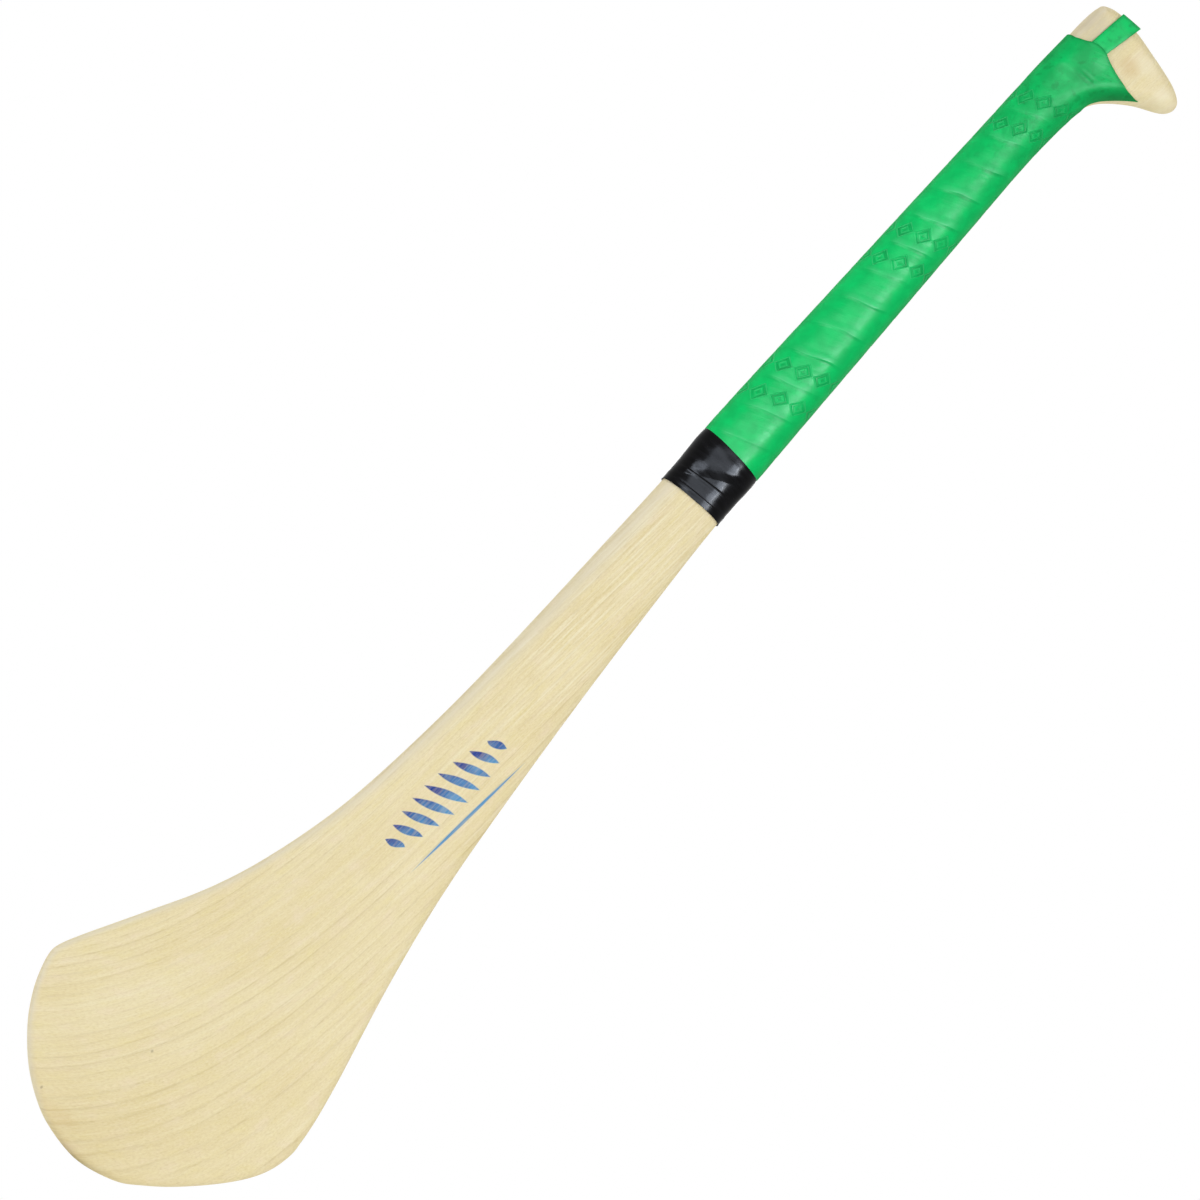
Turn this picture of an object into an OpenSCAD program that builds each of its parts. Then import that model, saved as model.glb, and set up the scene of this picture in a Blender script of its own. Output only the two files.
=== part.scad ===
// A hurley, the ash stick of the game of hurling, with a wound grip and a band of finishing tape.
// The stick is upright, with its bas, the broad striking end, at the bottom.
// Its two faces look along -Y and +Y, and the hook of the knob and the heel of the bas point to +X.
// The origin is in the middle of the hand grip, and +Z runs up the shaft to the knob.

/* [Stick] */
// Length from the end of the bas to the top of the knob
stick_length = 887; // [780:0.5:960]
// Width of the bas from toe to heel
bas_width = 175.7; // [120:0.1:210]

/* [Thickness] */
// Thickness of the flat middle of the bas
bas_thickness = 18; // [12:0.5:26]
// Thickness of the handle under the grip
handle_thickness = 26; // [20:0.5:32]
// Thickness of the knob
knob_thickness = 28; // [22:0.5:34]
// Thickness of the bas along its edge, as a share of the middle
bas_edge_share = 0.62; // [0.4:0.01:1]
// Depth of the strip along the bas edge that thins towards the edge
bas_taper_depth = 35; // [15:1:40]
// Radius that rounds the edge of the bas
bas_edge_radius = 5.5; // [3:0.5:9]
// Radius that rounds the sides of the handle
handle_edge_radius = 17; // [10:0.5:20]
// Radius that rounds the edge of the knob
knob_edge_radius = 8; // [4:0.5:14]

/* [Grip wrap] */
// Thickness of the wound grip strip
wrap_thickness = 1; // [0.6:0.1:1.6]
// Thickness of the adhesive backing under the strip
backing_thickness = 0.2; // [0.1:0.1:0.5]
// Rise of the winding in one turn
wrap_pitch = 21.1; // [18:0.1:26]
// Height of the ridge where each turn laps over the turn below
wrap_lap_height = 0.5; // [0.2:0.1:1]
// Height of the lower end of the winding, under the finishing tape
wrap_bottom = -178; // [-179:1:-170]

/* [Starter strap] */
// Width of the strap at the end that is cut off on the knob
strap_width = 13; // [9:0.5:16]
// Thickness of the strap
strap_thickness = 1.2; // [0.8:0.1:1.6]
// Height of the strap's tucked end, under the winding
strap_bottom = 150; // [148:1:160]
// Height of the strap's cut end
strap_top = 194.5; // [188:0.5:197]

/* [Finishing tape] */
// Height of the lower edge of the tape, on bare wood
tape_bottom = -183.5; // [-188:0.5:-182]
// Height of the upper edge of the tape on the toe side
tape_top = -146; // [-150:0.5:-140]
// Drop of the upper edge from the toe side to the heel side
tape_drop = 4; // [0:0.5:8]
// Thickness of one layer of tape
tape_layer = 0.2; // [0.1:0.05:0.3]

/* [Hidden] */

// The outline of the bare wood, seen from the front: height, toe side, heel side
OUTLINE = [
    [-690.5, -29.5, -29.5],
    [-686, -53, -6],
    [-678, -69.5, 8],
    [-666, -85, 23.5],
    [-650, -99, 40],
    [-636, -107.5, 51.5],
    [-624, -112.4, 57.8],
    [-612, -115.1, 60.6],
    [-604, -113.4, 60.5],
    [-592, -107.2, 59.4],
    [-576, -98, 56.8],
    [-556, -86.5, 52.8],
    [-530, -72, 47],
    [-500, -59.2, 40.8],
    [-460, -47.2, 34],
    [-420, -39.5, 29.2],
    [-360, -32.8, 24.4],
    [-300, -29.1, 20.5],
    [-240, -26.4, 17.7],
    [-190, -24.3, 16],
    [-120, -22.2, 15.8],
    [-40, -18.9, 16.2],
    [40, -15.6, 16.6],
    [90, -13.5, 17],
    [120, -12.4, 18.8],
    [136, -11.8, 21.3],
    [146, -11.4, 25.6],
    [154, -11, 33.4],
    [162, -10.7, 45],
    [168, -10.5, 58],
    [173, -10.3, 63],
    [178, -10, 62.6],
    [183, -9.5, 56],
    [187, -8.9, 45.5],
    [190.5, -8, 33.5],
    [194.2, -5.8, 20.2],
    [196.5, 4, 4],
];
OUTLINE_LENGTH = 887;
OUTLINE_BAS_WIDTH = 175.7;
OUTLINE_STEPS = 3;

// Heights between which the wood turns from one form to the next
BAS_FORM = -560;
SHAFT_FORM = -215;
HANDLE_FORM = 115;
KNOB_FORM = 172;

// How square the rounded edges are: 2 is a circular arc
EDGE_POWER = 2.2;
// Points from edge to edge on one face of the stick
FACE_STEPS = 22;
// Points around the handle
AROUND = 36;
// Gap between one layer and the next on the handle
LAYER_GAP = 0.2;

length_scale = stick_length / OUTLINE_LENGTH;
width_scale = bas_width / OUTLINE_BAS_WIDTH;
// Distance from the edge beyond which a face keeps its full thickness
edge_reach = max(bas_taper_depth, bas_edge_radius, handle_edge_radius, knob_edge_radius);

// Smooth step from 0 at a to 1 at b
function ease(a, b, value) =
    let (t = max(0, min(1, (value - a) / (b - a))))
    t * t * (3 - 2 * t);

// Point on the smooth curve through b and c, with a before and d after them
function curve_point(a, b, c, d, t) =
    0.5 * (2 * b + (c - a) * t + (2 * a - 5 * b + 4 * c - d) * t * t
    + (3 * b - a - 3 * c + d) * t * t * t);

// A row of the outline at the size that is asked for; the bas alone takes the width
function sized_row(row) =
    let (bas = 1 - ease(BAS_FORM, SHAFT_FORM, row[0]), wide = 1 + (width_scale - 1) * bas)
    [row[0] * length_scale, row[1] * wide, row[2] * wide];

// The row past either end of the outline has the two sides changed over, so that the end is round
function swapped(row) = [row[0], row[2], row[1]];
rows = [for (row = OUTLINE) sized_row(row)];
last_row = len(rows) - 1;
ends_added = concat([swapped(rows[1])], rows, [swapped(rows[last_row - 1])]);

// The outline at every height where the wood has a row of points
levels = [
    for (i = [0:last_row - 1], k = [0:OUTLINE_STEPS - 1])
        let (a = ends_added[i], b = ends_added[i + 1], c = ends_added[i + 2], d = ends_added[i + 3])
        curve_point(a, b, c, d, k / OUTLINE_STEPS),
    rows[last_row]
];
toe_side = [for (level = levels) [level[0], level[1]]];
heel_side = [for (level = levels) [level[0], level[2]]];

// Distance from a point to the straight piece of outline between a and b
function piece_distance(p, a, b) =
    let (ab = b - a, t = max(0, min(1, ((p - a) * ab) / (ab * ab))))
    norm(p - a - t * ab);

// Distance from a point of the face to the nearest edge of the stick, as far as it matters
function edge_distance(x, z) =
    let (p = [z, x])
    min([
        edge_reach,
        for (i = [0:len(levels) - 2])
            if (levels[i + 1][0] > z - edge_reach && levels[i][0] < z + edge_reach)
                min(
                    piece_distance(p, toe_side[i], toe_side[i + 1]),
                    piece_distance(p, heel_side[i], heel_side[i + 1])
                )
    ]);

// A value that changes along the stick, from the bas to the handle and on to the knob
function along_stick(z, bas, handle, knob) =
    bas
    + (handle - bas) * ease(BAS_FORM, SHAFT_FORM, z)
    + (knob - handle) * ease(HANDLE_FORM, KNOB_FORM, z);

// Half the thickness of the wood at a point of its face
function half_thickness(x, z) =
    let (
        d = edge_distance(x, z),
        radius = along_stick(z, bas_edge_radius, handle_edge_radius, knob_edge_radius),
        share = along_stick(z, bas_edge_share, 1, 1),
        middle = along_stick(z, bas_thickness, handle_thickness, knob_thickness) / 2,
        rounding = pow(1 - pow(1 - min(1, d / radius), EDGE_POWER), 1 / EDGE_POWER)
    )
    middle * rounding * (share + (1 - share) * ease(0, bas_taper_depth, d));

// Share of the way across a face, with the points close together at both edges
function across(step, steps) = (1 - cos(180 * step / steps)) / 2;

// Place across the stick of a point at an angle around it: 0 is the toe side, 90 the front face
function around_x(angle, z) =
    let (toe = lookup(z, toe_side), heel = lookup(z, heel_side))
    toe + (heel - toe) * (1 - cos(angle)) / 2;

// Faces of the skin through a stack of rings with the same number of points
function ring_faces(rings, points, start, flip) = [
    for (i = [0:rings - 2], j = [0:points - 1])
        let (
            a = start + i * points + j,
            b = start + i * points + (j + 1) % points,
            c = b + points,
            d = a + points
        )
        each flip ? [[a, c, b], [a, d, c]] : [[a, b, c], [a, c, d]]
];

// The stick is one piece of ash: two faces that meet along the outline, with a point at each end
module ash_stick() {
    inner = [for (i = [1:len(levels) - 2]) levels[i]];
    count = 2 * FACE_STEPS;
    rings = [
        for (level = inner)
            [
                for (j = [0:count - 1])
                    let (
                        front = j <= FACE_STEPS,
                        share = across(front ? j : count - j, FACE_STEPS),
                        x = level[1] + (level[2] - level[1]) * share,
                        edge = j == 0 || j == FACE_STEPS,
                        y = edge ? 0 : half_thickness(x, level[0])
                    )
                    [x, front ? -y : y, level[0]]
            ]
    ];
    bottom = levels[0];
    top = levels[len(levels) - 1];
    points = concat(
        [for (ring = rings) each ring],
        [[bottom[1], 0, bottom[0]], [top[1], 0, top[0]]]
    );
    bottom_point = len(points) - 2;
    top_point = len(points) - 1;
    last_ring = (len(rings) - 1) * count;
    faces = concat(
        ring_faces(len(rings), count, 0, true),
        [for (j = [0:count - 1]) [bottom_point, j, (j + 1) % count]],
        [for (j = [0:count - 1]) [top_point, last_ring + (j + 1) % count, last_ring + j]]
    );
    color("#ecdeb0") polyhedron(points, faces);
}

// The winding's upper edge: angle around the handle and height
WRAP_EDGE = [
    [0, 168.5],
    [40, 166.5],
    [65, 170],
    [95, 165.5],
    [150, 160.5],
    [180, 150],
    [210, 142],
    [270, 145],
    [320, 158],
    [360, 168.5],
];
// Heights between which the level rings of the winding turn towards its slanting upper edge
WRAP_LEVEL_END = 110;
WRAP_SLANT_END = 170;
// Share of the winding's length where the strip is stretched thin, and how thin it gets
WRAP_THIN_START = 0.92;
WRAP_THIN_SHARE = 0.5;
// Height of a seam between two turns at the middle of the front face
WRAP_SEAM = -11.9;
// Share of a turn by which the strip climbs faster on the front face than on the back
WRAP_FRONT_CLIMB = 0.135;
// Share of a turn that is covered by the turn above
WRAP_LAP = 0.22;
// Heights between which the laps fade into the smooth stretched turn at the knob
LAP_FADE = [140, 160];
// Height above the tape over which the laps reach their full height
LAP_RISE = 8;
// Rings of the winding's outer face, evenly spaced
WRAP_OUTER_RINGS = 96;
// Rings of the winding's inner face, closer together where the handle flares into the knob
WRAP_INNER_RINGS = 25;

// A ring that hugs the wood at the heights given for each angle, standing off by the given amounts
function hugging_ring(heights, offsets) =
    let (
        angles = [for (j = [0:AROUND - 1]) 360 * j / AROUND],
        wood = [
            for (j = [0:AROUND - 1])
                let (
                    z = heights[j],
                    x = around_x(angles[j], z),
                    edge = j == 0 || 2 * j == AROUND,
                    y = edge ? 0 : half_thickness(x, z)
                )
                [x, angles[j] < 180 ? -y : y]
        ]
    )
    [
        for (j = [0:AROUND - 1])
            let (
                run = wood[(j + 1) % AROUND] - wood[(j + AROUND - 1) % AROUND],
                out = [run[1], -run[0]] / norm(run),
                place = wood[j] + out * offsets[j]
            )
            [place[0], place[1], heights[j]]
    ];

// The strap leans towards the heel side: sideways run for each unit of height
STRAP_LEAN = 0.19;
// Middle of the strap where it comes out of the winding: place across the stick and height
STRAP_FOOT = [7.6, 170.5];
function strap_x(z) = STRAP_FOOT[0] + STRAP_LEAN * (z - STRAP_FOOT[1]);

// Room that the winding leaves for the strap tucked under it, from none at 0 to full at 1
// It is full from the nearer to the farther of these distances past the strap's sides and end
STRAP_ROOM = [1.5, 5.5];
function strap_room(x, z) =
    ease(STRAP_ROOM[1], STRAP_ROOM[0], abs(x - strap_x(z)) - strap_width / 2)
    * ease(STRAP_ROOM[1], STRAP_ROOM[0], strap_bottom - z);

// Height of the winding at a share of its length, for each angle around the handle
function wrap_heights(share) =
    let (
        level = wrap_bottom + (WRAP_SLANT_END - wrap_bottom) * share,
        slant = ease(WRAP_LEVEL_END, WRAP_SLANT_END, level)
    )
    [
        for (j = [0:AROUND - 1])
            let (edge = lookup(360 * j / AROUND, WRAP_EDGE))
            level + (edge - WRAP_SLANT_END) * slant
    ];

// Extra height of the strip where it laps over the turn below, fading out at both ends
function lap_ridge(angle, z) =
    let (
        climb = (angle - 90) / 360 - WRAP_FRONT_CLIMB * cos(angle),
        turns = (z - WRAP_SEAM) / wrap_pitch - climb,
        share = turns - floor(turns)
    )
    wrap_lap_height * (1 - ease(0, WRAP_LAP, share))
    * ease(0, LAP_RISE, z - tape_top) * (1 - ease(LAP_FADE[0], LAP_FADE[1], z));

// A ring of the winding at a share of its length, on a layer of the given depth, with or without laps
function wound_ring(share, depth, laps) =
    let (heights = wrap_heights(share))
    hugging_ring(heights, [
        for (j = [0:AROUND - 1])
            let (
                angle = 360 * j / AROUND,
                z = heights[j],
                tucked = angle < 180 ? strap_room(around_x(angle, z), z) : 0
            )
            depth + (strap_thickness + LAYER_GAP) * tucked + (laps ? lap_ridge(angle, z) : 0)
    ]);

// Share of the winding's length at one of the rings of its inner face
function inner_share(ring) = 1 - pow(1 - ring / (WRAP_INNER_RINGS - 1), 2);
backing_outside = LAYER_GAP + backing_thickness;
wrap_inside = backing_outside + LAYER_GAP;
wrap_outside = wrap_inside + wrap_thickness;
function wrap_depth(share) =
    wrap_outside - wrap_thickness * (1 - WRAP_THIN_SHARE) * ease(WRAP_THIN_START, 1, share);

// A closed sleeve between a list of outer rings and a list of inner rings
module sleeve(outer, inner) {
    inner_start = len(outer) * AROUND;
    outer_end = inner_start - AROUND;
    inner_end = inner_start + (len(inner) - 1) * AROUND;
    points = concat([for (ring = outer) each ring], [for (ring = inner) each ring]);
    faces = concat(
        ring_faces(len(outer), AROUND, 0, true),
        ring_faces(len(inner), AROUND, inner_start, false),
        [
            for (j = [0:AROUND - 1])
                let (k = (j + 1) % AROUND)
                each [[j, k, inner_start + k], [j, inner_start + k, inner_start + j]]
        ],
        [
            for (j = [0:AROUND - 1])
                let (k = (j + 1) % AROUND)
                each [
                    [outer_end + k, outer_end + j, inner_end + j],
                    [outer_end + k, inner_end + j, inner_end + k]
                ]
        ]
    );
    polyhedron(points, faces);
}

// The backing is the sticky layer that holds the grip strip to the wood
// It stops a little short of the strip at both ends
BACKING_START = 0.02;
BACKING_END_RINGS = 2;
module adhesive_backing() {
    shares = [BACKING_START, for (i = [1:WRAP_INNER_RINGS - 1 - BACKING_END_RINGS]) inner_share(i)];
    color("#d9d4c4") sleeve(
        [for (share = shares) wound_ring(share, backing_outside, false)],
        [for (share = shares) wound_ring(share, LAYER_GAP, false)]
    );
}

// The grip is one strip wound up the handle, each turn lapping over the turn below
module grip_wrap() {
    outer_last = WRAP_OUTER_RINGS - 1;
    inner_last = WRAP_INNER_RINGS - 1;
    color("#00be5f") sleeve(
        [for (i = [0:outer_last]) wound_ring(i / outer_last, wrap_depth(i / outer_last), true)],
        [for (i = [0:inner_last]) wound_ring(inner_share(i), wrap_inside, false)]
    );
}

// The strap lies flat on the knob, tucked under the winding at one end and cut off at the other
STRAP_ROWS = 16;
STRAP_STEPS = 10;
// Width of the strap where it comes out of the winding
STRAP_NARROW = 11.5;
// Length of the cut end that runs straight on past the knob's rounded edge
STRAP_FREE_END = 6;
module starter_strap() {
    count = 2 * (STRAP_STEPS + 1);
    rings = [
        for (i = [0:STRAP_ROWS])
            let (
                z = strap_bottom + (strap_top - strap_bottom) * i / STRAP_ROWS,
                wide = STRAP_NARROW + (strap_width - STRAP_NARROW) * ease(STRAP_FOOT[1], strap_top, z)
            )
            [
                for (j = [0:count - 1])
                    let (
                        outer = j <= STRAP_STEPS,
                        step = outer ? j : count - 1 - j,
                        x = strap_x(z) + wide * (step / STRAP_STEPS - 0.5),
                        rest = half_thickness(x, min(z, strap_top - STRAP_FREE_END))
                    )
                    [x, -rest - LAYER_GAP - (outer ? strap_thickness : 0), z]
            ]
    ];
    last_ring = STRAP_ROWS * count;
    faces = concat(
        ring_faces(len(rings), count, 0, true),
        [
            for (j = [0:STRAP_STEPS - 1])
                let (k = count - 1 - j)
                each [[j, j + 1, k - 1], [j, k - 1, k]]
        ],
        [
            for (j = [0:STRAP_STEPS - 1])
                let (a = last_ring + j, b = last_ring + count - 1 - j)
                each [[a + 1, a, b], [a + 1, b, b - 1]]
        ]
    );
    color("#00b458") polyhedron([for (ring = rings) each ring], faces);
}

// The tape is one strip in three turns, each a little lower than the last
TAPE_OUTER_RINGS = 16;
TAPE_INNER_RINGS = 8;
// Heights of the lower edges of the upper turns
TAPE_TURN_EDGES = [-171, -179.5];
// Height over which one turn of tape steps down to the next
TAPE_STEP = 1.6;
function tape_heights(share) = [
    for (j = [0:AROUND - 1])
        let (top = tape_top - tape_drop * (1 - cos(360 * j / AROUND)) / 2)
        tape_bottom + (top - tape_bottom) * share
];
function tape_ring(share, outer) =
    let (heights = tape_heights(share))
    hugging_ring(heights, [
        for (z = heights)
            let (
                under = LAYER_GAP + wrap_outside * ease(tape_bottom, wrap_bottom - TAPE_STEP / 2, z),
                upper_turns = [for (edge = TAPE_TURN_EDGES) ease(edge, edge + TAPE_STEP, z)]
            )
            outer ? under + tape_layer * (1 + upper_turns[0] + upper_turns[1]) : under
    ]);
module finishing_tape() {
    outer_last = TAPE_OUTER_RINGS - 1;
    inner_last = TAPE_INNER_RINGS - 1;
    color("#0a0a0d") sleeve(
        [for (i = [0:outer_last]) tape_ring(i / outer_last, true)],
        [for (i = [0:inner_last]) tape_ring(i / inner_last, false)]
    );
}

ash_stick();
starter_strap();
adhesive_backing();
grip_wrap();
finishing_tape();
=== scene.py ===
import math

import bmesh
import bpy
import numpy as np
from mathutils import Matrix, Vector


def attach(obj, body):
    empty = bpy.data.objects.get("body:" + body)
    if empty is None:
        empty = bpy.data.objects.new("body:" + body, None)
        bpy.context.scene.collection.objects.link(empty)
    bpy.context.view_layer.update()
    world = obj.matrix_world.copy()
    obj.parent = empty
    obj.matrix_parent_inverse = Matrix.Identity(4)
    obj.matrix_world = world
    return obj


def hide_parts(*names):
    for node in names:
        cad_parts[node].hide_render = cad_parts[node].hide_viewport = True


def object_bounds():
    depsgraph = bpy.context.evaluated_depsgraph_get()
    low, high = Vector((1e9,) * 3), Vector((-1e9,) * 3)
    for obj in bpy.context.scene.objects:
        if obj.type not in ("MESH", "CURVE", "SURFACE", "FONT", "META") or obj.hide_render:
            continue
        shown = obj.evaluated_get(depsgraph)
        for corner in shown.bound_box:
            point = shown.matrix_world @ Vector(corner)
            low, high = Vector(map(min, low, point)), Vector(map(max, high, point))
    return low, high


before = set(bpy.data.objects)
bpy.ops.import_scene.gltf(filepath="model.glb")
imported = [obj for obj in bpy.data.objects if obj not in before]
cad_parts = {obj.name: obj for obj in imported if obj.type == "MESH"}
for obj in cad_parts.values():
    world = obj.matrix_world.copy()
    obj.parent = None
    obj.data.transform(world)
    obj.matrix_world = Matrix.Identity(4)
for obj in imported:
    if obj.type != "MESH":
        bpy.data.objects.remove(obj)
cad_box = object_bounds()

# A hurley, upright: +Z runs up the shaft to the knob, and the front face looks along -Y.
# Shapes are worked out in millimetres, as a maker gives them, and meshes are set in metres.
MM = 0.001


# Ash stick
# One plank of ash, sawn to outline, spokeshaved and sanded bare: a broad flat bas, a rounded
# shaft and handle, and a flat hooked knob. The grain runs down the shaft and bends round into
# the toe, because such planks are cut where the trunk flares into the root.
LEVEL_GAP = 0.1
SAME_SPOT = 0.02
WELD_REACH = 0.005
STICK_STEPS_ALONG = 4
STICK_STEPS_AROUND = 3


def mesh_points(mesh):
    """The points of a mesh, in millimetres."""
    points = np.empty(len(mesh.vertices) * 3, np.float32)
    mesh.vertices.foreach_get("co", points)
    return points.reshape(-1, 3).astype(float) / MM


def one_side(level, front):
    """The points of one face at one level, from toe to heel, each of them once."""
    face = level[level[:, 1] < -SAME_SPOT] if front else level[level[:, 1] > SAME_SPOT]
    face = face[np.argsort(face[:, 0])]
    apart = np.linalg.norm(np.diff(face, axis=0), axis=1) > SAME_SPOT
    return face[np.concatenate(([True], apart))]


def stick_rings():
    """The rings of the solid stick from the bas to the knob: toe edge, front, heel edge, back."""
    points = mesh_points(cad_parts["ash_stick"].data)
    points = points[np.argsort(points[:, 2], kind="stable")]
    levels = np.split(points, np.flatnonzero(np.diff(points[:, 2]) > LEVEL_GAP) + 1)
    rings = []
    for level in levels[1:-1]:
        toe, heel = level[np.argmin(level[:, 0])], level[np.argmax(level[:, 0])]
        rings.append(np.vstack([toe, one_side(level, True), heel, one_side(level, False)[::-1]]))
    ends = [np.repeat(levels[end][:1], len(rings[0]), axis=0) for end in (0, -1)]
    return np.array([ends[0], *rings, ends[1]])


def curve_point(four, t):
    """A point between the middle two of four points on a smooth curve."""
    a, b, c, d = four
    return b + 0.5 * t * (c - a + t * (2 * a - 5 * b + 4 * c - d + t * (3 * b - a - 3 * c + d)))


def smooth_rows(rows, place):
    """Rows on the smooth curve through a stack of rows that has one spare row at each end."""
    first = np.clip(place.astype(int), 0, len(rows) - 4)
    t = (place - first).reshape(-1, *[1] * (rows.ndim - 1))
    return curve_point([rows[first + k] for k in range(4)], t)


def around_and_back(rows):
    """The rows of a closed loop, with the spare rows that smooth_rows needs."""
    return np.concatenate([rows[-1:], rows, rows[:2]])


RINGS = stick_rings()
RING_POINTS = RINGS.shape[1]
# Past each end the surface comes back on the other side, half a ring round.
STACK = np.concatenate([
    np.roll(RINGS[1:2], RING_POINTS // 2, axis=1),
    RINGS,
    np.roll(RINGS[-2:-1], RING_POINTS // 2, axis=1),
])
places_along = np.linspace(0, len(RINGS) - 1, (len(RINGS) - 1) * STICK_STEPS_ALONG + 1)
places_around = np.arange(RING_POINTS * STICK_STEPS_AROUND) / STICK_STEPS_AROUND
WOOD_ROWS = smooth_rows(STACK, places_along)
WOOD_HEIGHTS = WOOD_ROWS[:, 0, 2]


def closed_rings_mesh(name, rings, strip=None):
    """A mesh through a stack of closed rings in millimetres; a ring that is one point ends it.

    strip gives a place on the wound strip for every point and for the seam round the back.
    """
    count, around = rings.shape[:2]
    points = rings.reshape(-1, 3) * MM
    i, j = np.meshgrid(np.arange(count - 1), np.arange(around), indexing="ij")
    k = (j + 1) % around
    faces = np.stack([i * around + j, i * around + k, (i + 1) * around + k, (i + 1) * around + j], -1)
    mesh = bpy.data.meshes.new(name)
    mesh.from_pydata(points.tolist(), [], faces.reshape(-1, 4).tolist())
    if strip is not None:
        corners = np.stack([strip[:-1, :-1], strip[:-1, 1:], strip[1:, 1:], strip[1:, :-1]], 2)
        layer = mesh.uv_layers.new(name="strip")
        layer.data.foreach_set("uv", corners.astype(np.float32).ravel())
    mesh.polygons.foreach_set("use_smooth", [True] * len(mesh.polygons))
    piece = bpy.data.objects.new(name, mesh)
    bpy.context.scene.collection.objects.link(piece)
    return piece


def weld(piece):
    """Joins the points of a piece that lie in one spot, such as those of a ring drawn to a point."""
    work = bmesh.new()
    work.from_mesh(piece.data)
    bmesh.ops.remove_doubles(work, verts=work.verts, dist=WELD_REACH * MM)
    bmesh.ops.recalc_face_normals(work, faces=work.faces)
    work.to_mesh(piece.data)
    work.free()


stick_points = smooth_rows(around_and_back(WOOD_ROWS.transpose(1, 0, 2)), places_around)
stick = closed_rings_mesh("stick", stick_points.transpose(1, 0, 2))
weld(stick)

# The lines of grain lean towards the toe all down the shaft, and fan out and bend in the bas. The
# rings lie aslant through the thickness of the plank, and grow wider towards the heel.
GRAIN_LEAN = 0.1
GRAIN_BEND_START = -400
GRAIN_BEND_RUN = 210
GRAIN_FAN = 0.4
GRAIN_FAN_POWER = 2.2
GRAIN_BEND = 14
GRAIN_BEND_POWER = 2.5
GRAIN_SLANT = 0.25
RING_WIDTH = 4.8
RING_WIDENING = 0.0026


def grain_place(x, z):
    """How far across the grain a point lies, the same all along one line of grain."""
    deep = np.clip((GRAIN_BEND_START - z) / GRAIN_BEND_RUN, 0, None)
    fanned = x * np.exp(-GRAIN_FAN * deep ** GRAIN_FAN_POWER)
    return fanned + GRAIN_LEAN * (GRAIN_BEND_START - z) + GRAIN_BEND * deep ** GRAIN_BEND_POWER


x, y, z = mesh_points(stick.data).T
across_grain = grain_place(x, z) + GRAIN_SLANT * y
ring_number = (across_grain - RING_WIDENING * across_grain ** 2) / RING_WIDTH
grain = stick.data.attributes.new("grain", "FLOAT_VECTOR", "POINT")
grain_values = np.stack([ring_number, across_grain, z], 1)
grain.data.foreach_set("vector", grain_values.astype(np.float32).ravel())


def srgb(*levels):
    """A colour as a paint chart gives it, 0 to 255, in the renderer's own scale."""
    shares = [level / 255 for level in levels]
    return [*(((s + 0.055) / 1.055) ** 2.4 if s > 0.04045 else s / 12.92 for s in shares), 1]


def add(tree, kind, inputs=None, **settings):
    """Adds a shader node. An input is a plain value or another node's output."""
    made = tree.nodes.new("ShaderNode" + kind)
    for name, value in settings.items():
        setattr(made, name, value)
    for socket, value in (inputs or {}).items():
        if isinstance(value, bpy.types.NodeSocket):
            tree.links.new(value, made.inputs[socket])
        else:
            made.inputs[socket].default_value = value
    return made


def calc(tree, operation, first, second=0.0, third=0.0):
    """One step of arithmetic on values that change over the surface."""
    return add(tree, "Math", {0: first, 1: second, 2: third}, operation=operation).outputs[0]


def times(tree, first, second):
    """Two values multiplied."""
    return calc(tree, "MULTIPLY", first, second)


def between(tree, value, low, high, at_low=0.0, at_high=1.0):
    """A value's place between two ends, turned into a place between two other ends."""
    ends = {"From Min": low, "From Max": high, "To Min": at_low, "To Max": at_high}
    return add(tree, "MapRange", {"Value": value, **ends}).outputs[0]


def ramp(tree, value, *stops):
    """A value turned into another by stops of (place, level)."""
    made = add(tree, "ValToRGB", {0: value})
    stops_made = made.color_ramp.elements
    for _ in stops[2:]:
        stops_made.new(0.5)
    for element, (place, level) in zip(stops_made, stops):
        element.position = place
        element.color = (level, level, level, 1)
    return made.outputs[0]


def blend(tree, amount, first, second):
    """One colour over another."""
    return add(tree, "Mix", {0: amount, 6: first, 7: second}, data_type="RGBA").outputs[2]


def layered(tree, colour, *layers):
    """A colour with others laid over it in turn, each given as (amount, tint)."""
    for amount, tint in layers:
        colour = blend(tree, amount, colour, tint)
    return colour


def noise(tree, place, scale, detail=2.0, roughness=0.5):
    """Plain noise."""
    inputs = {"Vector": place, "Scale": scale, "Detail": detail, "Roughness": roughness}
    return add(tree, "TexNoise", inputs).outputs[0]


def stretched_noise(tree, place, stretch, detail=2.0, roughness=0.5):
    """Noise drawn out along one or more directions."""
    moved = add(tree, "Mapping", {"Vector": place, "Scale": stretch}).outputs[0]
    return noise(tree, moved, 1.0, detail, roughness)


def facing_parts(tree):
    """The three parts of the direction that a surface faces, in the stick's own frame."""
    return add(tree, "SeparateXYZ", {0: add(tree, "TexCoord").outputs["Normal"]}).outputs


def emboss(tree, shader, height, strength, depth):
    """Presses a height into a surface, to a depth in millimetres."""
    bump = add(tree, "Bump", {"Strength": strength, "Distance": depth * MM, "Height": height})
    tree.links.new(bump.outputs[0], shader.inputs["Normal"])


def new_material(name):
    """An empty material with its Principled shader."""
    material = bpy.data.materials.new(name)
    material.use_nodes = True
    return material, material.node_tree, material.node_tree.nodes["Principled BSDF"]


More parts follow.
